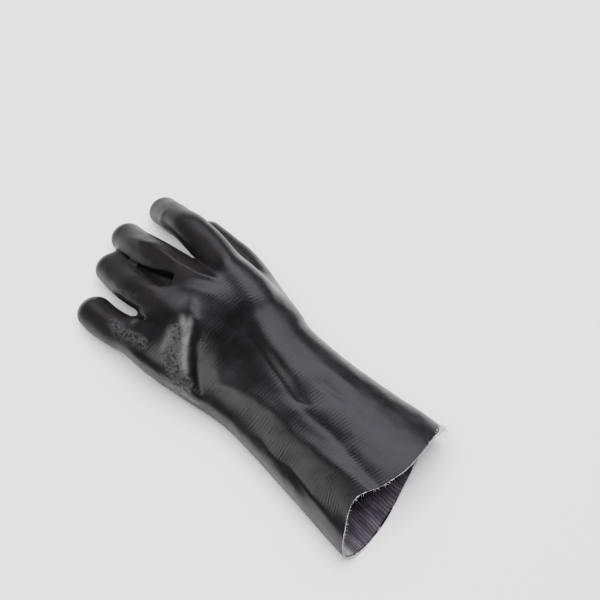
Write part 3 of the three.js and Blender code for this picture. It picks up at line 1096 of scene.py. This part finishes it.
@dataclass
class VinylShell:
    """The dipped shell: hand, fingers, thumb and gauntlet in one skin with a wall."""

    form: GloveForm
    wall: float = 1.2
    finish: DippedVinyl = field(default_factory=DippedVinyl)
    crinkle_zones: tuple[Crease, ...] = (
        Crease(((-26, 64), (-35, 56), (-46, 47), (-54, 35), (-58, 16)), 1.0, 15.0, 6.0, 0.1),
        Crease(((-60, 120), (-63, 100), (-60, 80), (-60, 66)), 0.85, 8.0, 7.0, 0.15),
        Crease(((-44, 150), (-38, 124), (-30, 98)), 0.5, 9.0, 6.0, 0.3),
    )
    # Where a pale, speckled highlight is painted along the crest of the fold by the palm's edge
    rubbed_zones: tuple[Crease, ...] = (
        Crease(((-25, 73), (-24, 64), (-29, 55), (-36, 48), (-43, 42), (-50, 33), (-55, 22)),
               1.0, 4.4, 3.6, 0.25),
        Crease(((-13, 57), (-20, 59), (-28, 53), (-36, 47), (-43, 41), (-50, 32)),
               0.9, 4.0, 3.6, 0.3),
        Crease(((-30, 70), (-42, 62), (-52, 58), (-62, 61)), 0.5, 4.0, 5.0, 0.35),
    )
    streaked_zones: tuple[Crease, ...] = (
        Crease(((-10, 44), (-24, 34), (-36, 22), (-44, 6)), 1.6, 9.0, 9.0, 0.3),
    )
    knuckles: float = 70.0
    knuckle_run: float = 20.0
    digit_reach: float = 6.0
    digit_smoothness: float = 0.55

    def build(self) -> Object:
        """Build the shell, dress it and stand it in for its solid.

        Returns:
            The shell.
        """
        body = self.form.body
        piece = new_object("vinyl_shell", *Skinner(self.form).net())
        # The gauntlet is cut straight across where its cuff ends
        at = (0, (ORIGIN[1] - body.gauntlet_length) * MM, 0)
        with edited(piece) as work:
            bmesh.ops.bisect_plane(work, geom=work.verts[:] + work.edges[:] + work.faces[:],
                                   dist=1e-7, plane_co=at, plane_no=(0, -1, 0), clear_outer=True)
        mesh = piece.data
        points = np.empty((len(mesh.vertices), 3), dtype=np.float32)
        mesh.vertices.foreach_get("co", points.ravel())
        points = points.astype(float) / MM - ORIGIN
        normals = unit(self.form.slope(points))
        moved = points + normals * self.form.relief(points, normals)[:, None]
        moved[:, 2] = np.maximum(moved[:, 2], 0.0)
        moved = body.drawn_out(moved, body.turn(points))
        mesh.vertices.foreach_set("co", ((moved + ORIGIN) * MM).astype(np.float32).ravel())
        mesh.update()
        self._mark(piece, points, normals)
        thick = piece.modifiers.new("wall", "SOLIDIFY")
        thick.thickness, thick.offset, thick.use_even_offset = self.wall * MM, -1.0, False
        mesh.materials.append(self.finish.material())
        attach(piece, "root")
        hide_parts("pvc_coating")
        return piece

    def _mark(self, piece: Object, points: Array, normals: Array) -> None:
        """Keep where the ribs run, how strong they are, where the skin is worn or crinkled, and
        where a highlight is painted along a fold's crest.

        Args:
            piece: The shell.
            points: Its points before they were moved.
            normals: The skin's normals there.
        """
        along = points[:, 1].copy()
        on_digit = np.zeros(len(points))
        nearest = np.full(len(points), 40.0)
        past_knuckles = smooth((points[:, 1] - self.knuckles) / self.knuckle_run)
        for digit in self.form.digits:
            value, length = digit.distance(points)
            held = (value < nearest) & (value < self.digit_reach / 2)
            along = np.where(held, length + digit.root[1], along)
            nearest = np.minimum(value, nearest)
            on_digit = np.maximum(on_digit, smooth(1 - value / self.digit_reach) * past_knuckles)

        def strongest(zones: tuple[Crease, ...]) -> Array:
            """Give the strongest of some zones at each point."""
            return np.maximum.reduce([zone.at(points[:, :2]) for zone in zones])

        topside = smooth((normals[:, 2] + 0.1) / 0.7)
        not_under = smooth(normals[:, 2] + 0.9)
        ribbing = 1 - self.digit_smoothness * on_digit + strongest(self.streaked_zones)
        # The last mark is the share of the highlight painted along the fold's crest
        mark(piece, length_along=along, ribbing=ribbing * topside, polish=topside, dulled=on_digit,
             crinkle=strongest(self.crinkle_zones) * not_under,
             rubbed=strongest(self.rubbed_zones) * not_under)


@dataclass
class KnitLining:
    """The knit liner inside the gauntlet: a tube with a wall, just inside the shell."""

    form: GloveForm
    start_inset: float = 1.5
    wall: float = 0.8
    length: float = 135.0
    setback: float = 0.8
    setback_fall: float = 6.0
    crowding: float = 1.5
    girth: float = 330.0
    faded_turn: float = 0.545
    faded_width: float = 0.03
    faded_depth: float = 20.0
    step: float = 0.004
    rings: int = 90
    sides: int = 260
    finish: RibbedKnit = field(default_factory=RibbedKnit)

    def face(self, station: Array, turn: Array, inset: float) -> Array:
        """Give points of the glove's skin moved inwards, creases and cut edge included.

        The move is along the cross product of the skin's two directions, by the inset
        less the creases' height.

        Args:
            station: Stations.
            turn: Places round the glove.
            inset: The distance inwards, in mm.

        Returns:
            The points.
        """
        body = self.form.body
        step = self.step
        run = body.skin(station + step, turn) - body.skin(station - step, turn)
        around = body.skin(station, turn + step) - body.skin(station, turn - step)
        normal = unit(np.cross(run, around))
        skin = body.skin(station, turn)
        moved = skin + normal * (self.form.relief(skin, normal) - inset)[:, None]
        moved = body.drawn_out(moved, turn)
        moved[:, 1] += self.setback * (1 - smooth((station + 1) * self.setback_fall))
        moved[:, 2] = np.maximum(moved[:, 2], inset)
        return moved

    def stations(self, share: Array) -> Array:
        """Give the stations at shares of the lining's length, from the cuff inwards."""
        body = self.form.body
        return body.stations[0] + self.length / body.gauntlet_length * share

    def build(self) -> Object:
        """Build the tube: its outer face out from the cuff, and back along its inner face.

        Returns:
            The lining.
        """
        share = np.linspace(0, 1, self.rings) ** self.crowding
        station, turn = (grid.ravel() for grid in np.meshgrid(
            self.stations(share), np.arange(self.sides) / self.sides, indexing="ij"))
        outer = self.face(station, turn, self.start_inset).reshape(self.rings, self.sides, 3)
        inner = self.face(station, turn, self.start_inset + self.wall).reshape(outer.shape)
        loop = np.concatenate([outer, inner[::-1]]).reshape(-1, 3)
        faces = ring_faces(2 * self.rings, self.sides, looped=True)[:, ::-1]
        piece = new_object("knit_liner", loop, faces)
        back = np.arange(len(station)).reshape(self.rings, self.sides)[::-1].ravel()
        turn = np.concatenate([turn, turn[back]])
        station = np.concatenate([station, station[back]])
        length = self.form.body.gauntlet_length
        corner = smooth(1.6 - np.abs(turn - self.faded_turn) / self.faded_width)
        depth = smooth(1.5 - (station + 1) * length / self.faded_depth)
        mark(piece, length_round=np.abs(turn - 0.5) * self.girth, length_along=station * length,
             faded=corner * depth)
        piece.data.materials.append(self.finish.material())
        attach(piece, "root")
        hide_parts("knit_lining")
        return piece


@dataclass
class LiningSeam:
    """A sewn seam: a low, stitched half-round rib on the liner's inner face."""

    name: str
    node: str
    turn: float
    lining: KnitLining
    width: float = 3.2
    height: float = 1.2
    gap: float = 0.3
    rings: int = 320
    sides: int = 10
    stitch: float = 2.6
    stitch_swell: float = 0.14
    aside: float = 0.01
    finish: SpunThread = field(default_factory=SpunThread)

    def build(self) -> Object:
        """Carry a half-round profile along the seam, swelling at every stitch.

        Returns:
            The seam.
        """
        station = self.lining.stations(np.linspace(0, 1, self.rings))
        turn = np.full(self.rings, self.turn)
        base = self.lining.start_inset + self.lining.wall + self.gap
        low = self.lining.face(station, turn, base)
        up = unit(self.lining.face(station, turn, base + 1.0) - low)
        across = unit(self.lining.face(station, turn + self.aside, base) - low)
        angle = np.pi * np.arange(self.sides) / (self.sides - 1)
        pull = np.abs(np.sin(np.pi * low[:, 1] / self.stitch))
        swell = 1 - self.stitch_swell + self.stitch_swell * pull
        piece = tubes(self.name, low, across, up, oval(swell, angle, self.width / 2, self.height))
        piece.data.materials.append(self.finish.material())
        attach(piece, "root")
        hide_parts(self.node)
        return piece


@dataclass
class CutEdge:
    """The raw cut: a ragged line of lint and fibres, and a tuft of thread at the seam's end."""

    form: GloveForm
    steps: int = 900
    sides: int = 6
    fibres: int = 420
    tuft: int = 110
    seed: int = 17
    inset: float = 0.9
    overhang: float = 0.15
    lint_mean: float = 0.16
    lint_swing: float = 0.62
    lint_bounds: tuple[float, float] = (0.04, 0.7)
    fibre_radius: float = 0.11
    tuft_radius: float = 0.42
    finish: SpunThread = SpunThread("pale_lint", (0.34, 0.33, 0.34), (0.74, 0.73, 0.74))

    def build(self) -> list[Object]:
        """Build the lint line, the fibres and the tuft.

        Returns:
            The pieces.
        """
        made = [self._lint_line(), self._loose_fibres(), self._thread_tuft()]
        finish = self.finish.material()
        for piece in made:
            piece.data.materials.append(finish)
            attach(piece, "root")
        return made

    def _edge(self, turn: Array, inset: float) -> tuple[Array, Array]:
        """Give points of the cut edge.

        Args:
            turn: Places round the glove.
            inset: How far in from the skin they lie, in mm.

        Returns:
            The points, and the directions out of the skin there.
        """
        station = np.full(len(turn), self.form.body.stations[0])
        lining = KnitLining(self.form, setback=0.0)
        outer = lining.face(station, turn, 0.0)
        out = unit(outer - lining.face(station, turn, 1.0))
        return outer - out * inset, out

    def _lint_line(self) -> Object:
        """Carry a lumpy round profile round the cut, thick where the lint clumps.

        Returns:
            The line.
        """
        turn = np.arange(self.steps + 1) / self.steps
        path, out = self._edge(turn % 1.0, self.inset)
        lumps = SoftNoise(2.6, 23).at(path) * 0.5 + SoftNoise(9.0, 29).at(path) * 0.5
        size = np.clip(self.lint_mean + self.lint_swing * lumps, *self.lint_bounds)
        size[-1] = size[0]
        path[:, 1] -= self.overhang
        ahead = np.tile([0.0, -1.0, 0.0], (len(path), 1))
        angle = 2 * np.pi * np.arange(self.sides) / self.sides
        return tubes("cut_edge_lint", path, out, ahead, oval(size, angle, 1.0, 0.8))

    @staticmethod
    def _strands(name: str, roots: Array, aims: Array, curls: Array, length: Array,
                 thick: float) -> Object:
        """Build thin bent strands: root + aim t length + curl t^2 length, three-sided.

        Args:
            name: The piece's name.
            roots: Where strands start.
            aims: Which way they leave.
            curls: Which way they bend.
            length: Their lengths.
            thick: Their radius.

        Returns:
            The strands as one object.
        """
        t = np.linspace(0, 1, 6)
        bend = aims[:, None] * t[:, None] + curls[:, None] * t[:, None] ** 2
        middle = roots[:, None] + bend * length[:, None, None]
        middle[..., 2] = np.maximum(middle[..., 2], thick)
        run = unit(np.gradient(middle, axis=1))
        across = unit(np.cross(run, [0.31, 0.17, 0.93]))
        profile = oval(thick * (1 - 0.75 * t), 2 * np.pi * np.arange(3) / 3)
        return tubes(name, middle, across, np.cross(across, run), profile)

    def _loose_fibres(self) -> Object:
        """Scatter short fibres along the cut.

        Returns:
            The fibres.
        """
        chance = np.random.default_rng(self.seed)
        turn = chance.uniform(0, 1, self.fibres)
        roots, out = self._edge(turn, self.inset)
        spread = 0.6 * chance.normal(0, 1, (self.fibres, 3))
        lean = out * chance.uniform(-0.6, 0.6, self.fibres)[:, None]
        aims = unit(lean + np.array([0, -1.0, 0]) + spread)
        curls = 0.6 * chance.normal(0, 1, (self.fibres, 3))
        length = chance.uniform(0.5, 1.8, self.fibres)
        return self._strands("cut_edge_fibres", roots, aims, curls, length, self.fibre_radius)

    def _thread_tuft(self) -> Object:
        """Tease the seam's threads out at the cuff's thumb corner.

        Returns:
            The tuft.
        """
        chance = np.random.default_rng(self.seed + 1)
        turn = np.clip(chance.normal(0.045, 0.03, self.tuft), 0.0, 0.12)
        roots, out = self._edge(turn, 0.7)
        roots = roots + chance.normal(0, 0.6, (self.tuft, 3))
        spread = 0.8 * chance.normal(0, 1, (self.tuft, 3))
        aims = unit(out * 0.2 + np.array([0.0, -1.0, 0.1]) + spread)
        curls = 1.1 * chance.normal(0, 1, (self.tuft, 3))
        length = chance.uniform(0.8, 3.2, self.tuft)
        return self._strands("seam_thread_tuft", roots, aims, curls, length, self.tuft_radius)


# The studio

def aimed(made: Object, centre: Triple, way: Array, distance: float) -> None:
    """Stand a camera or light off a centre, facing it.

    Args:
        made: The camera or light.
        centre: The place that it faces, in metres.
        way: The direction it stands off in.
        distance: How far off it stands.
    """
    made.location = np.array(centre) + distance * way
    x, y, z = -way
    made.rotation_euler = (math.acos(max(min(-z, 1.0), -1.0)), 0.0, math.atan2(-x, y))


@dataclass(frozen=True)
class Lamp:
    """A soft square light that faces the glove.

    It hangs at a heading in degrees from +Y to +X, a height angle and a distance in
    metres; one that isn't mirrored lights the floor but leaves no reflection.
    """

    name: str
    heading: float
    height: float
    distance: float
    size: tuple[float, float]
    power: float
    mirrored: bool = True
    tint: Triple = (1.0, 1.0, 1.0)

    def build(self) -> None:
        """Hang the light."""
        data = bpy.data.lights.new(self.name, "AREA")
        data.shape = "RECTANGLE"
        data.size, data.size_y = self.size
        data.energy = self.power
        data.color = self.tint
        lamp = placed(self.name, data)
        lamp.visible_glossy = self.mirrored
        aimed(lamp, (0.0, 0.0, 0.0), heading(self.heading, self.height), self.distance)


@dataclass
class Studio:
    """The floor, the lights and the camera."""

    azimuth: float = -44.0
    elevation: float = 60.0
    distance: float = 1.15
    focal: float = 80.0
    sensor: float = 36.0
    aim: Triple = (0.07786, 0.01876, 0.0)
    backdrop: float = 0.04
    floor_half: float = 6.0
    lamps: tuple[Lamp, ...] = (
        Lamp("right_bank", 57, 51, 1.7, (2.8, 1.1), 29.0, tint=(0.985, 0.965, 1.05)),
        Lamp("left_bank", -82, 53, 1.6, (1.2, 0.8), 10.5),
        Lamp("overhead", 0, 88, 2.2, (2.0, 2.0), 148.0, False),
    )

    def build(self) -> None:
        """Lay the floor, hang the lights and place the camera."""
        self._floor()
        for lamp in self.lamps:
            lamp.build()
        self._world()
        self._camera()

    def _floor(self) -> None:
        """Lay a plain pale sheet that the glove rests on."""
        half = self.floor_half
        corners = [(-half, -half, 0), (half, -half, 0), (half, half, 0), (-half, half, 0)]
        mesh = bpy.data.meshes.new("floor")
        mesh.from_pydata(corners, [], [(0, 1, 2, 3)])
        floor = placed("floor", mesh)
        shade = Shade("pale_paper")
        paper = shade.principled({"Base Color": (0.86, 0.86, 0.86), "Roughness": 0.9})
        mesh.materials.append(shade.finished(paper))
        floor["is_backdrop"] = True

    def _world(self) -> None:
        """Fill the room with a plain pale light."""
        world = bpy.data.worlds.new("room")
        world.use_nodes = True
        sky = world.node_tree.nodes["Background"]
        sky.inputs["Color"].default_value = (1.0, 1.0, 1.0, 1.0)
        sky.inputs["Strength"].default_value = self.backdrop
        bpy.context.scene.world = world

    def _camera(self) -> None:
        """Stand the camera on a sphere round its aim, at the photograph's angle."""
        data = bpy.data.cameras.new("camera")
        data.lens = self.focal
        data.sensor_width = self.sensor
        camera = placed("camera", data)
        aimed(camera, self.aim, heading(180 - self.azimuth, self.elevation), self.distance)
        bpy.context.scene.camera = camera


def report(piece: Object) -> None:
    """Log a piece's name and face count."""
    log.info("%s: %d faces", piece.name, len(piece.data.polygons))


def main() -> None:
    """Build the studio and the glove's pieces in order."""
    logging.basicConfig(level=logging.INFO, format="%(name)s %(message)s")
    Studio().build()
    form = GloveForm()
    report(VinylShell(form).build())
    lining = KnitLining(form)
    report(lining.build())
    report(LiningSeam("liner_seam_thumb", "lining_seam_thumb_side", 0.0, lining).build())
    report(LiningSeam("liner_seam_little", "lining_seam_little_side", 0.5, lining).build())
    for piece in CutEdge(form).build():
        report(piece)
    boxes = {"cad": CAD_BOX, "visual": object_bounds()}
    boxes = {name: [list(corner) for corner in box] for name, box in boxes.items()}


if __name__ == "__main__":
    main()
